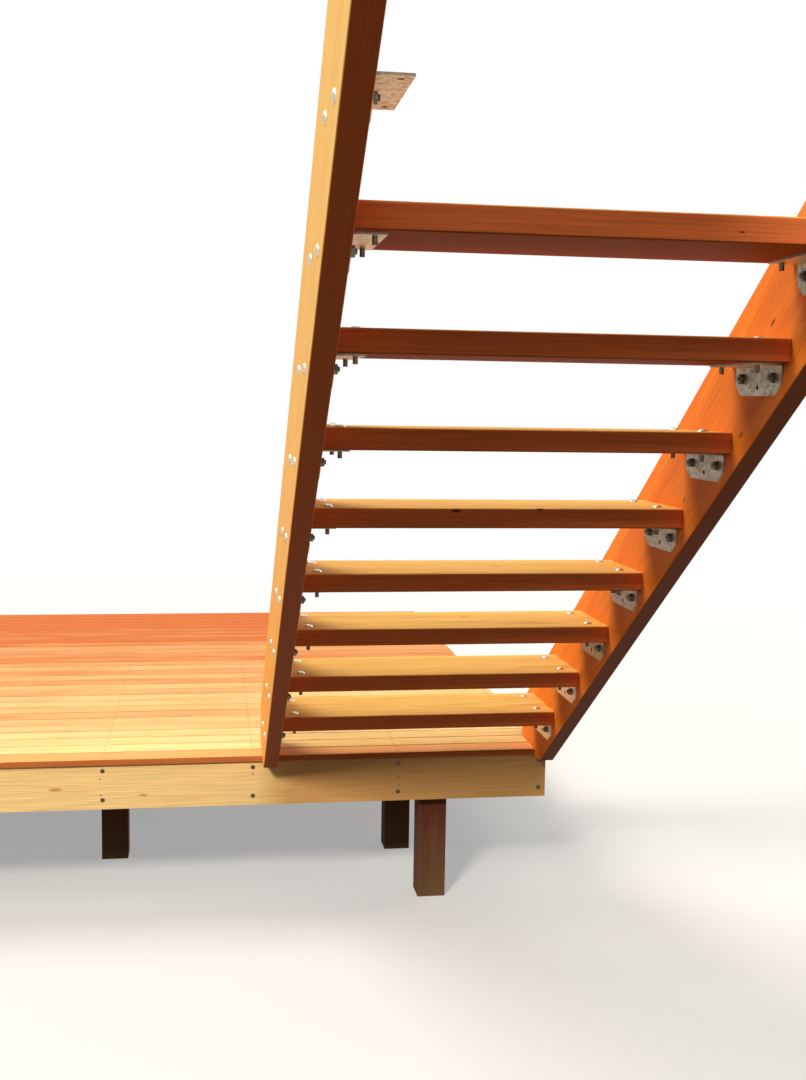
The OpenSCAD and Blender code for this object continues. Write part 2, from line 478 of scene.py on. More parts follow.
    def lay_colours(self) -> Socket:
        """Lays the timber's colours over one another.

        Returns:
            The finished colour.
        """
        add, wood = self.add, self.wood
        tone = add(MATH, [self.number, wood.row.drift], "MULTIPLY")
        tone = add(MATH, [self.chances[2], wood.spread, tone], "MULTIPLY_ADD")
        patchy = add(SPAN, [self.patch, 0.35, 0.75, 0, wood.patch_part])
        tone = add(MATH, [tone, patchy], "ADD", use_clamp=True)
        facing = add("ShaderNodeNewGeometry", out="Normal")
        resin = add(SPAN, [self.streak, 0.52, 0.72, 0, 0.6])
        lines = add(MATH, [self.season, resin], "MAXIMUM")
        lines = add(MATH, [lines, wood.late_part], "MULTIPLY")
        shade = add(SPAN, [self.fibre, 0.3, 0.7, 0.78, 1.12])
        grey = add("ShaderNodeCombineColor", [shade, shade, shade])
        through = Vector(wood.grain.value).cross(Vector(wood.width.value))
        broad = add(VECTOR, [facing, through], "DOT_PRODUCT")
        broad = add(MATH, [broad], "ABSOLUTE")
        narrow = add(SPAN, [broad, 0.85, 0.35, 0, wood.edge_part])
        faint = add(MATH, [lines, 0.5], "MULTIPLY")
        stained = add(MIX, [faint, srgb(wood.edge), srgb(wood.late)], data_type="RGBA")
        stained = add(MIX, [1, stained, grey], data_type="RGBA", blend_type="MULTIPLY")
        self.place_marks()

        layers = [(tone, srgb(wood.deep))]
        # Painted shade and bounce light where the stair's shade falls
        if wood.stair_shade_paint:
            layers.append((self.stair_shade_place(), srgb(wood.stair_shade_paint)))
        if wood.front:
            layers.append((add(SPAN, [self.number, 0, 1, 0.75, 0]), srgb(wood.front)))
        # Painted light: a paler colour on the faces that look towards the light
        if wood.painted_light_face:
            layers.append((self.painted_light_part(facing, tone), srgb(wood.painted_light_face)))
        layers += [(lines, srgb(wood.late)), (1, grey)]
        # Towards the foot: grime on the posts, painted shade on the left stringer
        if wood.foot_dirt_and_shade:
            layers.append((self.foot_dirt_and_shade_mask(), srgb(wood.foot_dirt_and_shade)))
        layers.append((narrow, stained))
        if self.knot is not None:
            layers.append((add(MATH, [self.knot, 0.85], "MULTIPLY"), srgb(wood.knot_hex)))
        if wood.bruises:
            layers.append((self.crushed_rings(), srgb("#3E2A16")))
        colour = srgb(wood.face)
        for share, over in layers:
            blend = "MULTIPLY" if over is grey else "MIX"
            colour = add(MIX, [share, colour, over], data_type="RGBA", blend_type=blend)
        return colour

    def finish_surface(self, colour: Socket) -> None:
        """Raises the latewood, the fibres and the saw marks, and ends the tree.

        Args:
            colour: The timber's finished colour.
        """
        add, wood = self.add, self.wood
        height = add(MATH, [self.season, 0.6, self.fibre], "MULTIPLY_ADD")
        if wood.saw_mm:
            turn = add(MATH, [self.parts[0], math.tau / wood.saw_mm], "MULTIPLY")
            wobble = add(MATH, [self.patch, 14, turn], "MULTIPLY_ADD")
            mark = add(MATH, [wobble], "SINE")
            height = add(MATH, [mark, 0.35, height], "MULTIPLY_ADD")
        bump = add("ShaderNodeBump", {"Strength": 0.6, "Distance": wood.relief_mm * MM, "Height": height})
        rough = add(SPAN, [self.fibre, 0.25, 0.75, wood.roughness - 0.08, wood.roughness + 0.1])
        surface = add("ShaderNodeBsdfPrincipled", {
            "Base Color": colour, "Roughness": rough, "Normal": bump, "IOR": 1.47,
            "Specular IOR Level": wood.specular})
        add("ShaderNodeOutputMaterial", [surface])


@dataclass(frozen=True)
class DippedSteel:
    """Sheet steel or forged steel under a zinc coat.

    Attributes:
        name: The metal and how it was coated.
        light: Colour of the bright crystals.
        dark: Colour of the dull crystals.
        spangle_mm: Size of the zinc crystals.
        roughness: Middle roughness.
        painted_underlight: The two colours again, paler and warmer, for faces that look down, as painted
            bounce light; or an empty tuple.
    """

    name: str
    light: str
    dark: str
    spangle_mm: float
    roughness: float
    painted_underlight: tuple[str, ...] = ()

    def build(self) -> bpy.types.Material:
        """Makes the material.

        Returns:
            The new material.
        """
        material = bpy.data.materials.new(self.name)
        add = empty_tree(material)
        where = add("ShaderNodeTexCoord", out="Object")
        crystals = {"Vector": where, "Scale": 1 / (self.spangle_mm * MM)}
        cells = add("ShaderNodeTexVoronoi", crystals, out="Color")
        bloom_mm = 18
        bloom = add(NOISE, [where, 1 / (bloom_mm * MM), 3])
        tone = add(MATH, [add(SPLIT_COLOUR, [cells]), bloom], "MULTIPLY")
        tone = add(SPAN, [tone, 0.08, 0.5])
        colour = add(MIX, [tone, srgb(self.light), srgb(self.dark)], data_type="RGBA")
        # Painted bounce light: paler, warmer colours on the faces that look down
        if self.painted_underlight:
            underlit = add(MIX, [tone, *(srgb(code) for code in self.painted_underlight)], data_type="RGBA")
            facing = add("ShaderNodeNewGeometry", out="Normal")
            under = add(VECTOR, [facing, Heading.DOWN.value], "DOT_PRODUCT")
            under = add(SPAN, [under, 0.5, 0.9])
            colour = add(MIX, [under, colour, underlit], data_type="RGBA")
        rough = add(SPAN, [tone, 0, 1, self.roughness - 0.08, self.roughness + 0.12])
        bump = add("ShaderNodeBump", {"Strength": 0.3, "Distance": 0.05 * MM, "Height": tone})
        surface = add("ShaderNodeBsdfPrincipled", {
            "Base Color": colour, "Roughness": rough, "Normal": bump, "Metallic": 1})
        add("ShaderNodeOutputMaterial", [surface])
        return material


@dataclass
class RuleTree:
    """A Geometry Nodes tree that makes pieces by a rule, from a guide mesh.

    Attributes:
        name: The tree's name.
        sizes: Named inputs of the tree with their values, mm.
        counts: Named whole-number inputs with their values.
    """

    name: str
    sizes: dict[str, float]
    counts: dict[str, int] = field(default_factory=dict)
    tree: bpy.types.NodeTree = field(init=False)
    add: AddNode = field(init=False)
    given: Sequence[Socket] = field(init=False)

    def __post_init__(self) -> None:
        """Makes the tree with its named inputs."""
        self.tree = bpy.data.node_groups.new(self.name, "GeometryNodeTree")
        self.add = partial(add_node, self.tree)
        kinds = dict.fromkeys(self.sizes, "Float") | dict.fromkeys(self.counts, "Int")
        for name, kind in [("Guide", "Geometry"), *kinds.items(), ("Finish", "Material")]:
            self.tree.interface.new_socket(name, in_out="INPUT", socket_type=f"NodeSocket{kind}")
        self.tree.interface.new_socket("Geometry", in_out="OUTPUT", socket_type="NodeSocketGeometry")
        self.given = self.tree.nodes.new("NodeGroupInput").outputs

    def close(self, shape: Socket) -> None:
        """Makes the instances real, gives them their finish and ends the tree.

        Args:
            shape: All that the tree has made.
        """
        real = self.add("GeometryNodeRealizeInstances", {"Geometry": shape})
        finished = self.add("GeometryNodeSetMaterial", {"Geometry": real, "Material": self.given["Finish"]})
        self.add("NodeGroupOutput", {"Geometry": finished})

    def make(self, name: str, guide: bpy.types.Mesh, finish: bpy.types.Material,
             sharp_deg: float) -> bpy.types.Object:
        """Runs the tree on a guide and keeps the result as a plain mesh at the origin.

        Args:
            name: The piece's name.
            guide: The mesh that the tree starts from.
            finish: The piece's material.
            sharp_deg: Angle between faces from which an edge is drawn sharp.

        Returns:
            The finished piece.
        """
        holder = add_object(name + "_holder", guide)
        modifier = holder.modifiers.new("rule", "NODES")
        modifier.node_group = self.tree
        values = {size: value * MM for size, value in self.sizes.items()} | self.counts | {"Finish": finish}
        for item in self.tree.interface.items_tree:
            if item.in_out == "INPUT" and item.name in values:
                modifier[item.identifier] = values[item.name]
        graph = bpy.context.evaluated_depsgraph_get()
        mesh = bpy.data.meshes.new_from_object(holder.evaluated_get(graph), depsgraph=graph)
        holder.modifiers.remove(modifier)
        bpy.data.objects.remove(holder)
        mesh.name = name
        mesh.shade_smooth()
        mesh.set_sharp_from_angle(angle=math.radians(sharp_deg))
        LOG.info("made %s: %d faces", name, len(mesh.polygons))
        return add_object(name, mesh)


@dataclass
class FastenerTree(RuleTree):
    """A tree that sets one fastener on every point of its guide."""

    def lathe(self, diameter: Socket, length: Socket, sides: int, rings: int) -> Socket:
        """Adds an upright cylinder that stands on z = 0, ready to be shaped.

        Args:
            diameter: The cylinder's diameter.
            length: Its height.
            sides: Faces round it.
            rings: Bands of faces up its side.

        Returns:
            The cylinder's geometry.
        """
        radius = self.add(MATH, [diameter, 0.5], "MULTIPLY")
        mesh = self.add("GeometryNodeMeshCylinder", {
            "Vertices": sides, "Side Segments": rings, "Radius": radius, "Depth": length})
        half = self.add(MATH, [length, 0.5], "MULTIPLY")
        lift = self.add(JOIN_XYZ, {"Z": half})
        return self.add("GeometryNodeSetPosition", {"Geometry": mesh, "Offset": lift})

    def share_of(self, height: Socket) -> Socket:
        """Returns how far up a lathed mesh of that height each point lies, from 0 to 1."""
        up = self.add(SPLIT_XYZ, [self.add("GeometryNodeInputPosition")], out="Z")
        return self.add(MATH, [up, height], "DIVIDE")

    def reshape(self, mesh: Socket, scale: Socket, height: Socket | None = None) -> Socket:
        """Scales each ring of a lathed mesh about the z axis.

        Args:
            mesh: The geometry.
            scale: A field for how much wider each point stands.
            height: A field for each point's new height, or None to keep it.

        Returns:
            The new geometry.
        """
        parts = self.add(SPLIT_XYZ, [self.add("GeometryNodeInputPosition")]).node.outputs
        x, y = (self.add(MATH, [part, scale], "MULTIPLY") for part in parts[:2])
        place = self.add(JOIN_XYZ, [x, y, height or parts[2]])
        return self.add("GeometryNodeSetPosition", {"Geometry": mesh, "Position": place})

    def cup_head(self) -> Socket:
        """Adds a domed head whose underside lies on z = 0.

        Returns:
            The head's geometry.
        """
        add, height = self.add, self.given["Head Height"]
        mesh = self.lathe(self.given["Head Diameter"], height, 20, 5)
        angle = add(MATH, [self.share_of(height), math.radians(80)], "MULTIPLY")
        scale = add(MATH, [angle], "COSINE")
        rise = add(MATH, [add(MATH, [angle], "SINE"), height], "MULTIPLY")
        return self.reshape(mesh, scale, rise)

    def hex_nut(self) -> Socket:
        """Adds a hexagon nut that stands on z = 0, with the corners chamfered.

        Returns:
            The nut's geometry.
        """
        add, height = self.add, self.given["Nut Height"]
        mesh = self.lathe(self.given["Nut Width"], height, 24, 6)
        parts = add(SPLIT_XYZ, [add("GeometryNodeInputPosition")]).node.outputs
        angle = add(MATH, [parts[1], parts[0]], operation="ARCTAN2")
        sixth = math.tau / 6
        turned = add(MATH, [angle, sixth / 2, -sixth / 2], "WRAP")
        corner = add(MATH, [1, add(MATH, [turned], "COSINE")], "DIVIDE")
        # The chamfer trims the corners on the end faces only
        from_mid = add(MATH, [self.share_of(height), 0.5], "SUBTRACT")
        from_mid = add(MATH, [from_mid], "ABSOLUTE")
        limit = add(SPAN, [from_mid, 0.33, 0.5, 1.16, 1.02])
        return self.reshape(mesh, add(MATH, [corner, limit], "MINIMUM"))

    def threaded_end(self) -> Socket:
        """Adds a threaded bolt end that stands on z = 0.

        Returns:
            The bolt end's geometry.
        """
        add, length = self.add, self.given["Tail Length"]
        mesh = self.lathe(self.given["Thread Diameter"], length, 12, 16)
        thread_turns = 8
        wave = add(MATH, [self.share_of(length), thread_turns * math.tau], "MULTIPLY")
        wave = add(MATH, [wave], "COSINE")
        return self.reshape(mesh, add(MATH, [wave, 0.05, 0.95], "MULTIPLY_ADD"))

    def nut_on_bolt_end(self) -> Socket:
        """Adds a flat washer that stands on z = 0, a nut on it and the bolt's end.

        Returns:
            The geometry of all three.
        """
        add, given = self.add, self.given
        washer = self.lathe(given["Washer Diameter"], given["Washer Thickness"], 24, 1)
        nut = add("GeometryNodeTransform", {
            "Geometry": self.hex_nut(), "Translation": add(JOIN_XYZ, {"Z": given["Washer Thickness"]})})
        joined = add("GeometryNodeJoinGeometry")
        for mesh in (washer, nut, self.threaded_end()):
            self.tree.links.new(mesh, joined.node.inputs[0])
        return joined

    def sunk_head(self) -> Socket:
        """Adds a flat screw head with a round driver recess, on z = 0.

        Returns:
            The head's geometry.
        """
        add, height = self.add, self.given["Head Height"]
        mesh = self.lathe(self.given["Head Diameter"], height, 12, 1)
        up = add(SPLIT_XYZ, [add("GeometryNodeInputNormal")], out="Z")
        top = add("FunctionNodeCompare", [up, 0.5], "GREATER_THAN")
        rim = add("GeometryNodeExtrudeMesh", {"Mesh": mesh, "Selection": top, "Offset Scale": 0})
        rim = rim.node.outputs
        inner = add("GeometryNodeScaleElements", {
            "Geometry": rim["Mesh"], "Selection": rim["Top"], "Scale": 0.45})
        sink = add(MATH, [height, -0.8], "MULTIPLY")
        return add("GeometryNodeExtrudeMesh", {"Mesh": inner, "Selection": rim["Top"], "Offset Scale": sink})

    def on_points(self, shape: Socket) -> None:
        """Sets the shape on every point, turned to the point's axis, and ends the tree.

        Args:
            shape: One fastener, with its axis along z.
        """
        add = self.add
        axis = add("GeometryNodeInputNamedAttribute", {"Name": "axis"}, data_type="FLOAT_VECTOR")
        spin = add("GeometryNodeInputNamedAttribute", {"Name": "spin"}, data_type="FLOAT")
        aligned = add("FunctionNodeAlignRotationToVector", {"Vector": axis}, axis="Z")
        own = add("FunctionNodeEulerToRotation", [add(JOIN_XYZ, {"Z": spin})])
        turned = add("FunctionNodeRotateRotation", [aligned, own], rotation_space="LOCAL")
        points = add("GeometryNodeMeshToPoints", {"Mesh": self.given["Guide"]})
        self.close(add("GeometryNodeInstanceOnPoints", {
            "Points": points, "Instance": shape, "Rotation": turned}))

    def set_out(self, name: str, places: Sequence[Place], finish: bpy.types.Material, seed: float) -> None:
        """Sets the fastener on its places and ties the piece to the stair's body.

        Args:
            name: The piece's name.
            places: Seat in mm and direction of each fastener.
            finish: The fasteners' material.
            seed: Start of the turns that the fasteners are left at.
        """
        guide = bpy.data.meshes.new(name + "_guide")
        guide.from_pydata([Vector(seat) * MM for seat, _ in places], [], [])
        guide.attributes.new("axis", "FLOAT_VECTOR", "POINT")
        guide.attributes.new("spin", "FLOAT", "POINT")
        # A sine of large steps scatters the turns, alike in every run
        for i, (_, heading) in enumerate(places):
            guide.attributes["axis"].data[i].vector = heading.value
            guide.attributes["spin"].data[i].value = math.sin((i + seed) * 12.9898) * math.pi
        ride_root(self.make(name, guide, finish, sharp_deg=38))


@dataclass
class Stair:
    """The two stringers, the treads, their brackets and their coach bolts.

    Sizes are in mm and repeat those of the CAD.
    """

    first_back_y: float = -226.0
    tread_d: float = 268.0
    tread_t: float = 45.0
    treads: int = 8
    steps: int = 13
    left_outer_x: float = -940.0
    left_inner_x: float = -895.0
    right_inner_x: float = -45.0
    recess_t: float = 8.0
    bracket_t: float = 4.0
    side_bolt_pitch: float = 140.0
    side_bolt_drop: float = 27.0
    top_bolt_pitch: float = 170.0
    top_bolt_out: float = 44.0
    bounce_lit_pairs: int = 2

    def mid_y(self, step: int) -> float:
        """Returns the middle of a step along Y, for its number."""
        return self.first_back_y - (step - 1) * GOING + self.tread_d / 2

    def dress_timber(self) -> None:
        """Gives the stringers and the treads stained pine with its own grain each."""
        # Dressed pine under an orange-brown penetrating stain: even colour, soft sheen, redder and
        # darker where the stringers' edges drink more of it. The right stringer's edges are set darker
        # still as painted shade on its underside, the left stringer's outer face and the treads' tops take
        # a paler painted light colour, and the treads' undersides keep a darker face colour as painted shade
        right = Timber(
            "stained_pine_dressed_right_stringer", Heading.UP_FLIGHT, Heading.OFF_FLIGHT,
            (-22.5, -1600, 1250), "#F6872C", "#DE6A1E", "#BC541A", "#5C240F", ring_mm=11,
            heart_mm=95, spread=0, late_part=0.44, knot_mm=9, roughness=0.55, specular=0.1,
            marks=((-45, -1683, 1294, 3.5), (-45, -1557, 1076, 3), (-45, -1257, 921, 3)))
        # Painted light: the left stringer's outer face takes a paler colour where the light falls on it
        left = replace(
            right, name="stained_pine_dressed_left_stringer", middle=(-917.5, -1600, 1250),
            late="#B9601E", edge="#CC6033", painted_light_face="#F2C768", painted_light_side=Heading.FROM_WALL,
            # Painted shade: a deeper orange towards the left stringer's foot
            foot_dirt_and_shade="#D78434", foot_dirt_and_shade_zone=(2000, 250), foot_dirt_and_shade_part=0.8, marks=())
        dress("stringer_left", left.build())
        dress("stringer_right", right.build())
        tread = Timber(
            "stained_pine_dressed_tread", Heading.TO_WALL, Heading.TO_HOUSE,
            (-470, self.mid_y(1) + GOING, -self.tread_t / 2), "#BC4F12", "#A0400F", "#96461C", "#F6874A",
            Row(2, -60, RISE, (0, -GOING, RISE)), painted_light_face="#F9C566", ring_mm=10, heart_mm=90,
            late_part=0.55, knot_mm=9, roughness=0.6, specular=0.05,
            marks=((-570, -1254, 894, 3.5), (-380, -1254, 899, 3), (-260, -2025, 1412, 1.6),
                   (-389, -857, 720, 4), (-411, -568, 540, 4))).build()
        for step in range(1, self.treads + 1):
            dress(f"tread_{step}", tread)

    def dress_brackets(self) -> None:
        """Gives the folded brackets hot-dip galvanised steel."""
        # Zinc crystals of 5 to 10 mm: matt grey, with paler warm colours on the faces that look down
        # under the treads as painted bounce light; the lowest pairs take a lighter copy, as painted bounce
        # light from the deck
        dull = DippedSteel("hot_dip_galvanised_steel_bracket", "#958975", "#857965", 6, 0.45,
                           ("#E6CFB0", "#CDB08C"))
        bright = replace(dull, name="hot_dip_galvanised_steel_painted_bounce_light", light="#E9DCD3", dark="#D3C3B8")
        low, high = bright.build(), dull.build()
        for step in range(1, self.steps + 1):
            dress(f"brackets_{step}", low if step <= self.bounce_lit_pairs else high)

    def side_bolts(self, *ends: tuple[float, Heading]) -> list[Place]:
        """Gives places on the bolts through the stringers and the brackets' upright legs.

        Args:
            *ends: X of the left and the right stringer's places, mm, and the way they look.

        Returns:
            The places, step by step.
        """
        seats = []
        for step in range(1, self.steps + 1):
            z = RISE * step - self.tread_t - self.side_bolt_drop
            for side in (-1, 1):
                y = self.mid_y(step) + side * self.side_bolt_pitch / 2
                seats += [((x, y, z), heading) for x, heading in ends]
        return seats

    def tread_bolts(self, drop: float, heading: Heading) -> list[Place]:
        """Gives places on the bolts down through the treads.

        Args:
            drop: How far the places lie below the treads' tops, mm.
            heading: The way they look.

        Returns:
            The places, step by step.
        """
        xs = (self.left_inner_x + self.top_bolt_out, self.right_inner_x - self.top_bolt_out)
        return [((x, self.mid_y(step) + side * self.top_bolt_pitch / 2, RISE * step - drop), heading)
                for step in range(1, self.treads + 1) for x in xs for side in (-1, 1)]

    def bolt_up(self) -> None:
        """Makes the coach bolts' heads, nuts and tails and sets them out."""
        # Electroplated zinc: bright, fine and even on the heads; dark on nuts and threads, partly dull zinc
        # and partly painted shade, as they sit in the shade under the treads
        bright = DippedSteel("bright_zinc_plated_steel_bolt", "#D8D2C2", "#B8B1A0", 3, 0.28).build()
        dull = DippedSteel("dull_zinc_plated_steel_nut", "#6E655A", "#585048", 3, 0.38).build()
        heads = FastenerTree("cup_head", {"Head Diameter": 22, "Head Height": 5.5})
        heads.on_points(heads.cup_head())
        outside = ((self.left_outer_x, Heading.FROM_WALL), (-self.recess_t, Heading.TO_WALL))
        heads.set_out("side_bolt_heads", self.side_bolts(*outside), bright, 1)
        heads.set_out("tread_bolt_heads", self.tread_bolts(0, Heading.UP), bright, 2)

        nuts = FastenerTree("nut_on_bolt_end", {
            "Washer Diameter": 21, "Washer Thickness": 2, "Nut Width": 17, "Nut Height": 8,
            "Thread Diameter": 10, "Tail Length": 13.5})
        nuts.on_points(nuts.nut_on_bolt_end())
        inside = ((self.left_inner_x + self.bracket_t, Heading.TO_WALL),
                  (self.right_inner_x - self.bracket_t, Heading.FROM_WALL))
        nuts.set_out("side_bolt_nuts", self.side_bolts(*inside), dull, 3)

        tails = FastenerTree("bolt_end", {"Thread Diameter": 10, "Tail Length": 14})
        tails.on_points(tails.threaded_end())
        below = self.tread_bolts(self.tread_t + self.bracket_t, Heading.DOWN)
        tails.set_out("tread_bolt_tails", below, dull, 4)


@dataclass
class Deck:
    """The deck's boards, its frame of joists, and the posts under it.

    Sizes are in mm and repeat those of the CAD.
    """

    boards: int = 31
    board_w: float = 86.0
    board_gap: float = 5.0
    board_t: float = 20.0
    board_lip: float = 10.0
    left_x: float = -2881.0
    right_x: float = -4.0
    joist_t: float = 45.0
    joist_pitch: float = 472.0
    bays: int = 6
    bearer_pitch: float = 1826.0
    post_pitch: float = 1020.5
    screw_inset: float = 20.0
    rim_screw_mid: float = -87.0
    rim_screw_half: float = 47.0

    def joist_xs(self) -> list[float]:
        """Returns the middles of the joists across the deck."""
        return [self.right_x - self.joist_t / 2 - i * self.joist_pitch for i in range(self.bays + 1)]

    def dress_timber(self) -> None:
        """Gives the frame pale pine and the posts rough pine."""
        # Treated pine framing: pale straw with wide soft rings, planed, not oiled
        joists = Timber(
            "treated_pine_planed_joist", Heading.TO_HOUSE, Heading.UP, (-26.5, 1400, -92),
            "#F4D08C", "#E9BD78", "#D6A160", "#EAC27E",
            Row(0, -262, self.joist_pitch, (self.joist_pitch, 0, 0)), ring_mm=9, heart_mm=110,
            spread=0.4, edge_part=0.3, knot_mm=7, knot_hex="#B9823F", roughness=0.6)
        # Painted shade: a darker tan on the rim joist where the stair's shade falls on it
        rim = replace(
            joists, name="treated_pine_planed_rim", grain=Heading.TO_WALL, middle=(-1442, 32, -92),
            row=Row(), spread=0, stair_shade_paint="#C98F4E", stair_shade_box=(-900, 100, -200, 200), stair_shade_part=0.8,
            marks=((-1317, 10, -121, 4), (-1588, 10, -96, 6)),
            bruises=(self.joist_xs()[0], self.joist_pitch, self.rim_screw_mid, self.rim_screw_half))
        bearers = replace(
            joists, name="treated_pine_sawn_bearer", grain=Heading.TO_WALL, width=Heading.TO_HOUSE,
            middle=(-1442, 570, -209),
            row=Row(1, 0, self.bearer_pitch, (0, self.bearer_pitch, 0)), heart_mm=20,
            edge_part=0.2, knot_mm=8, knot_hex="#3A1B0C", roughness=0.7, saw_mm=7)
        # Rough-sawn pine posts stained red-brown and set darker still as painted shade of the deck above
        # them, sun-faded and grubby at the foot
        posts = Timber(
            "stained_pine_rough_sawn_post", Heading.UP, Heading.TO_WALL, (-374, 101, -260),
            "#6B3823", "#502817", "#3C1D10", "#63341F",
            Row(0, -1000, self.post_pitch, (self.post_pitch, 0, 0)), ring_mm=8, heart_mm=15,
            spread=0.4, late_part=0.45, edge_part=0.5, knot_mm=9, roughness=0.75, relief_mm=0.8,
            saw_mm=6, foot_dirt_and_shade="#6B5636")
        for timber, names in ((rim, ("rim_joist", "ledger")), (joists, ("joists",)),
                              (bearers, ("bearer_front", "bearer_back")), (posts, ("post_front", "posts"))):
            material = timber.build()
            for name in names:
                dress(name, material)

    def lay_boards(self) -> None:
        """Makes the deck boards by their rule, with eased edges, in place of the plain CAD boards."""
        pitch = self.board_w + self.board_gap
        # Oiled decking: straw by the front edge and red-orange towards the house, partly real tone and
        # partly
        # painted light: painted glare by the front edge and painted shade of the house at the back; with
        # board-to-board differences, and amber at the stair's foot as painted warm bounce light in the
        # stair's shade
        oiled = Timber(
            "oiled_hardwood_decking_planed", Heading.TO_WALL, Heading.TO_HOUSE,
            (-1440, self.board_w / 2, -self.board_t / 2), "#F0D994", "#C0652C", "#B0662C", "#A8531F",
            Row(1, -self.board_gap / 2, pitch, (0, pitch, 0), 0.033), front="#EF9A58", stair_shade_paint="#F5C77C",
            stair_shade_box=(-895, -45, -200, 240), ring_mm=5, heart_mm=60, patch_part=0.2,
            late_part=0.32, roughness=0.6, specular=0.08).build()
        rule = RuleTree("deck_board_row", {
            "Board Length": self.right_x - self.left_x, "Board Width": self.board_w,
            "Board Thickness": self.board_t, "Board Pitch": pitch, "Arris Radius": 2, "Lift": 0.2,
            "End Play": 1.5}, {"Board Count": self.boards, "Seed": 8})
        add, given = rule.add, rule.given
        outline = add("GeometryNodeCurvePrimitiveQuadrilateral", {
            "Width": given["Board Width"], "Height": given["Board Thickness"]}, mode="RECTANGLE")
        outline = add("GeometryNodeFilletCurve", {
            "Curve": outline, "Count": 3, "Radius": given["Arris Radius"]}, mode="POLY")
        end = add(JOIN_XYZ, [given["Board Length"]])
        line = add("GeometryNodeCurvePrimitiveLine", {"End": end}, mode="POINTS")
        board = add("GeometryNodeCurveToMesh", {"Curve": line, "Profile Curve": outline, "Fill Caps": True})
        across = add(JOIN_XYZ, {"Y": given["Board Pitch"]})
        first = (self.left_x * MM, self.board_w / 2 * MM, -self.board_t / 2 * MM)
        row = add("GeometryNodeMeshLine", {
            "Count": given["Board Count"], "Offset": across, "Start Location": first}, mode="OFFSET")
        most = add(JOIN_XYZ, {"X": given["End Play"], "Z": given["Lift"]})
        least = add(VECTOR, [most, -1], "SCALE")
        stray = add("FunctionNodeRandomValue", {0: least, 1: most, "Seed": given["Seed"]},
                    data_type="FLOAT_VECTOR")
        row = add("GeometryNodeSetPosition", {"Geometry": row, "Offset": stray})
        rule.close(add("GeometryNodeInstanceOnPoints", {"Points": row, "Instance": board}))
        laid = rule.make("decking", bpy.data.meshes.new("decking_guide"), oiled, sharp_deg=15)
        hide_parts("deck_boards")
        ride_root(laid)

    def board_screws(self) -> list[Place]:
        """Returns the places of the screws that hold each board to each joist."""
        fronts = [i * (self.board_w + self.board_gap) for i in range(self.boards)]
        return [((x, y, 0), Heading.UP) for front in fronts for x in self.joist_xs()
                for y in (front + self.screw_inset, front + self.board_w - self.screw_inset)]

    def rim_screws(self) -> list[Place]:
        """Returns the places of the long screws through the rim joist into each joist."""
        levels = (self.rim_screw_mid + self.rim_screw_half, self.rim_screw_mid - self.rim_screw_half)
        return [((x, self.board_lip, z), Heading.FROM_HOUSE) for x in self.joist_xs() for z in levels]

    def rim_nails(self) -> list[Place]:
        """Returns the places of the nails that held the rim joist while it was screwed."""
        spots = ((-1449, -66), (-1448, -118), (-971, -61), (-496, -86), (-495, -113))
        return [((x, self.board_lip, z), Heading.FROM_HOUSE) for x, z in spots]

    def fix_down(self) -> None:
        """Makes the deck's screws and nails and sets them out."""
        # Tan-coated decking screws: matt, and close to the colour of the boards
        tan = DippedSteel("tan_coated_steel_screw", "#A67F4E", "#86633A", 3, 0.5)
        # Electroplated framing screws that have gone dull
        steel = DippedSteel("dull_zinc_plated_steel_screw", "#57514A", "#3B3731", 3, 0.4)
        # Uncoated wire nails, punched flush: near black against the pale pine
        dark = DippedSteel("dark_oiled_steel_nail", "#4A443C", "#2E2A25", 3, 0.5)
        for tree_name, head_mm, height_mm, name, places, finish, seed in (
                ("countersunk_screw", 7, 0.4, "deck_board_screws", self.board_screws(), tan, 5),
                ("long_screw", 12, 0.8, "rim_joist_screws", self.rim_screws(), steel, 6),
                ("nail_head", 4.5, 0.4, "rim_joist_nails", self.rim_nails(), dark, 7)):
            fastener = FastenerTree(tree_name, {"Head Diameter": head_mm, "Head Height": height_mm})
            fastener.on_points(fastener.sunk_head())
            fastener.set_out(name, places, finish.build(), seed)


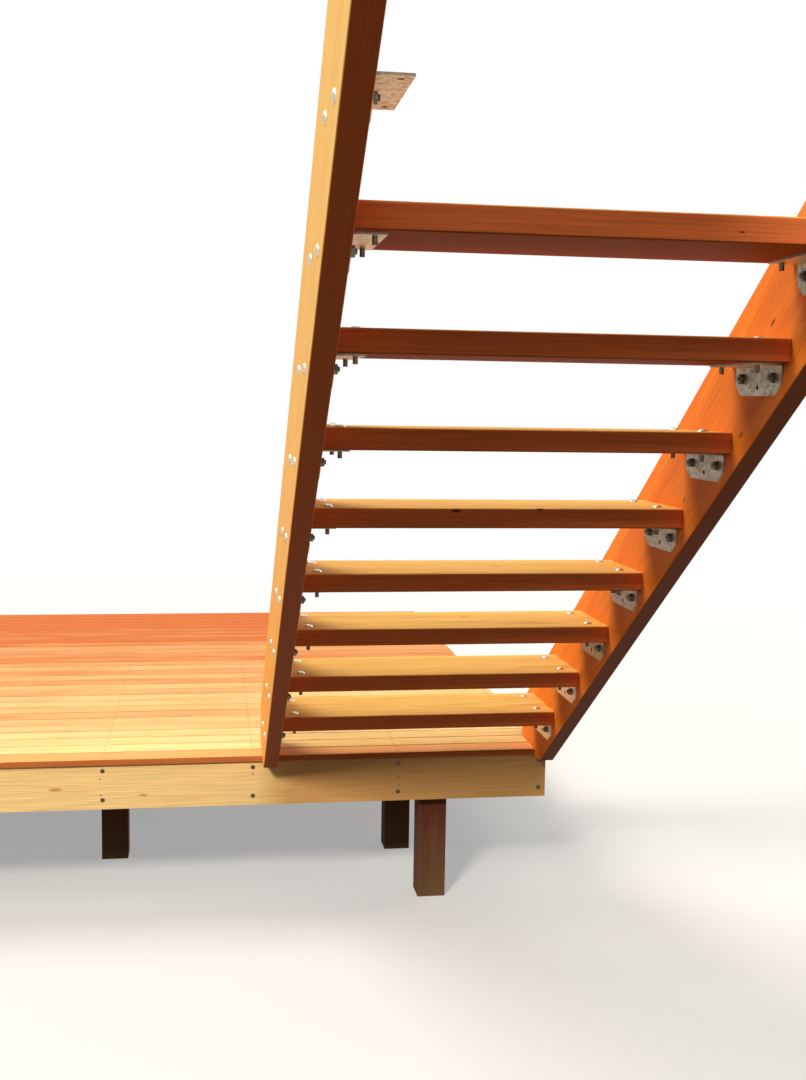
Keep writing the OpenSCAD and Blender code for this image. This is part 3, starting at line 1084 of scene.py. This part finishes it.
@dataclass
class Studio:
    """The floor, the lamps, the white surround and the camera."""

    floor_z: float = -512.0
    floor_half_m: float = 60.0
    stand_m: tuple[float, float] = (-1.4, -0.3)
    fade_m: tuple[float, float] = (3.0, 11.0)
    lamp_away_m: float = 6.0
    photo_w: int = 806
    photo_h: int = 1080
    focal_px: float = 1282.475
    sensor_mm: float = 36.0
    yaw: float = 0.1517
    pitch: float = 0.1058
    roll: float = -0.0159
    eye: Triple = (-1112.69, -4031.5, 1127.8)

    def seen(self, add: AddNode) -> Socket:
        """Tells the rays that the eye sees, straight or mirrored, from those that light things.

        Args:
            add: The function add_node, tied to a tree.

        Returns:
            1 for a seen ray and 0 for another.
        """
        ray = add("ShaderNodeLightPath").node.outputs
        seen = add(MATH, [ray["Is Camera Ray"], ray["Is Glossy Ray"]], "MAXIMUM")
        return add(MATH, [seen, ray["Is Transmission Ray"]], "MAXIMUM")

    def floor(self) -> None:
        """Lays a plain pale floor that keeps shadows and fades to white far away."""
        mesh = bpy.data.meshes.new("studio_floor")
        far, z = self.floor_half_m, self.floor_z * MM
        corners = [(-far, -far, z), (far, -far, z), (far, far, z), (-far, far, z)]
        mesh.from_pydata(corners, [], [(0, 1, 2, 3)])
        material = bpy.data.materials.new("pale_studio_floor")
        add = empty_tree(material)
        seen = self.seen(add)
        # Pale to the eye, but it throws back little light, as the ground under a deck does
        tone = add(MIX, [seen, srgb("#4A4743"), srgb("#D2CFC9")], data_type="RGBA")
        matt = add("ShaderNodeBsdfDiffuse", {"Color": tone})
        where = add("ShaderNodeTexCoord", out="Object")
        away = add(VECTOR, [where, (*self.stand_m, z)], "DISTANCE")
        away = add(SPAN, [away, *self.fade_m, 0.35, 1], interpolation_type="SMOOTHSTEP")
        share = add(MATH, [seen, away], "MULTIPLY")
        white = add("ShaderNodeEmission", {"Color": WHITE, "Strength": 1})
        add("ShaderNodeOutputMaterial", [add("ShaderNodeMixShader", [share, matt, white])])
        mesh.materials.append(material)
        floor = add_object("studio_floor", mesh)

    def surround(self) -> None:
        """Sets a low even light all round, seen as plain white."""
        world = bpy.data.worlds.new("studio_surround")
        bpy.context.scene.world = world
        add = empty_tree(world)
        low = add("ShaderNodeBackground", {"Color": srgb("#FBFBFA"), "Strength": 0.3})
        white = add("ShaderNodeBackground", {"Color": WHITE, "Strength": 1})
        add("ShaderNodeOutputWorld", [add("ShaderNodeMixShader", [self.seen(add), low, white])])

    def lamp(self, name: str, towards: Triple, strength: float, spread_deg: float, hex_code: str) -> None:
        """Hangs one soft far lamp.

        Args:
            name: The lamp's name.
            towards: Direction from the stair to the lamp.
            strength: Its strength, in units of a plain white card's brightness.
            spread_deg: How wide the lamp looks from the stair.
            hex_code: Its colour.
        """
        light = bpy.data.lights.new(name, "SUN")
        light.energy = strength * math.pi
        light.angle = math.radians(spread_deg)
        light.color = srgb(hex_code)[:3]
        lamp = add_object(name, light)
        lamp.rotation_mode = "QUATERNION"
        lamp.rotation_quaternion = Vector(towards).to_track_quat("Z", "Y")
        lamp.location = Vector(towards) * self.lamp_away_m

    def camera(self) -> None:
        """Stands the camera where the photograph was taken from."""
        cy, sy, cp, sp = math.cos(self.yaw), math.sin(self.yaw), math.cos(self.pitch), math.sin(self.pitch)
        ahead = Vector((sy * cp, cy * cp, -sp))
        level = Vector((cy, -sy, 0))
        below = ahead.cross(level)
        right = level * math.cos(self.roll) + below * math.sin(self.roll)
        down = below * math.cos(self.roll) - level * math.sin(self.roll)
        data = bpy.data.cameras.new("photo_camera")
        data.sensor_width = self.sensor_mm
        data.lens = self.focal_px / max(self.photo_w, self.photo_h) * data.sensor_width
        data.clip_start, data.clip_end = 0.05, 200
        camera = add_object("photo_camera", data)
        turn = Matrix((right, -down, -ahead)).transposed()
        camera.rotation_mode = "QUATERNION"
        camera.rotation_quaternion = turn.to_quaternion()
        camera.location = Vector(self.eye) * MM
        bpy.context.scene.camera = camera

    def light_up(self) -> None:
        """Builds the whole studio."""
        self.floor()
        self.surround()
        self.lamp("key_lamp", (-0.58, 0.30, 0.757), 0.88, 34, "#FFFAF2")
        # A little steeper than the flight, so that the left stringer shades the backs of the treads
        self.lamp("side_lamp", (-0.40, -0.745, 0.56), 0.92, 9, "#FFF8EE")
        # High in front: each tread hides it from the one below, and the topmost one catches it
        self.lamp("sky_lamp", (0.05, -0.57, 0.82), 0.24, 40, "#FFFDF8")
        self.lamp("fill_lamp", (0.86, 0.50, 0.12), 0.4, 25, "#FAFCFF")
        self.camera()
        bpy.context.scene.view_settings.view_transform = "Standard"


def main() -> None:
    """Builds and dresses the stair and its deck, then the studio."""
    logging.basicConfig(level=logging.INFO, format="%(name)s: %(message)s")
    stair = Stair()
    stair.dress_timber()
    stair.dress_brackets()
    stair.bolt_up()
    deck = Deck()
    deck.dress_timber()
    deck.lay_boards()
    deck.fix_down()
    Studio().light_up()


if __name__ == "__main__":
    main()
